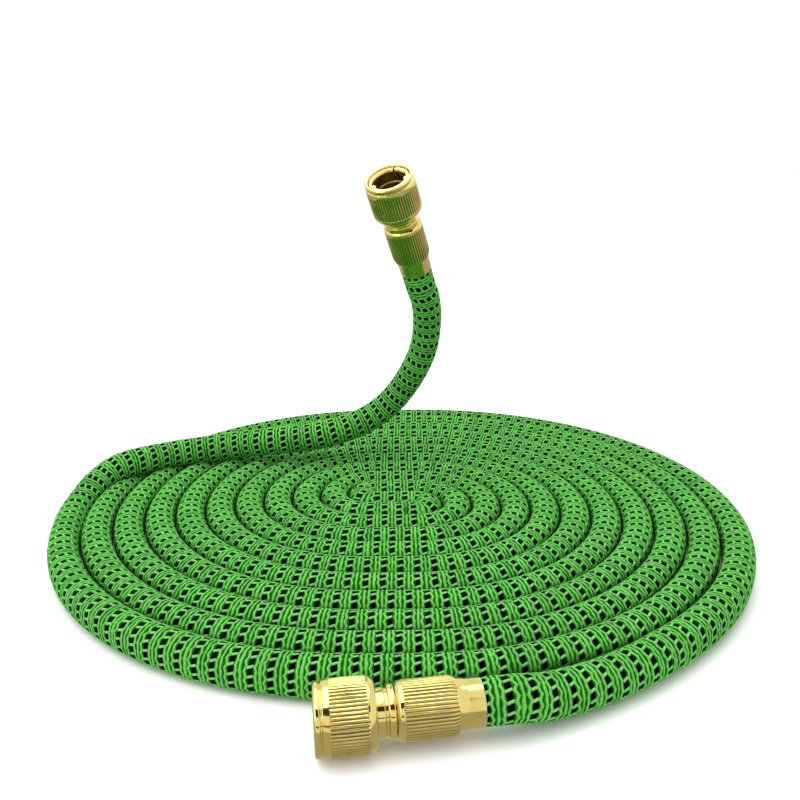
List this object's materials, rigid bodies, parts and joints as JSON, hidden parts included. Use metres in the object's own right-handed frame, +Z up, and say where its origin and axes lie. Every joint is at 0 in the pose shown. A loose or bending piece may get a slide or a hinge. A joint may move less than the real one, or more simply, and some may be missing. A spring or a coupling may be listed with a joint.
{
  "type": "garden hose with quick connectors",
  "caption": "Woven garden hose coiled flat in one layer, with a brass quick connector on each end, one lying in front and one standing up from the coil.",
  "frame": {"origin": "on the floor at the centre of the coil, on the flat underside of the hose's middle straight", "axes": "+Z up out of the floor, +X to the right and +Y to the back of the coil as the front connector lies in front of it"},
  "size_m": [0.4404, 0.4357, 0.2294],
  "materials": {
    "weave": "woven bright green polyester sleeve with rings of black specks, matte",
    "brass": "polished brass, knurled grips between smooth bands",
    "steel": "polished steel balls"
  },
  "bodies": {
    "hose": {"hose_coil": "weave", "hose_tail": "weave", "hose_riser": "weave", "front_connector_body": "brass", "front_clamp_nut": "brass", "front_lock_ball_1": "steel", "front_lock_ball_2": "steel", "top_connector_body": "brass", "top_clamp_nut": "brass", "top_lock_ball_1": "steel", "top_lock_ball_2": "steel"},
    "front_collar": {"front_release_collar": "brass"},
    "top_collar": {"top_release_collar": "brass"}
  },
  "joints": [
    {"name": "front_collar_slide", "type": "slide", "parent": "hose", "child": "front_collar", "axis": [0.9899, 0.142, 0], "range_m": [0, 0.0034], "stiffness_N_per_m": 1500, "springref_m": -0.003},
    {"name": "top_collar_slide", "type": "slide", "parent": "hose", "child": "top_collar", "axis": [0.2389, 0.4859, -0.8408], "range_m": [0, 0.0034], "stiffness_N_per_m": 1500, "springref_m": -0.003}
  ]
}
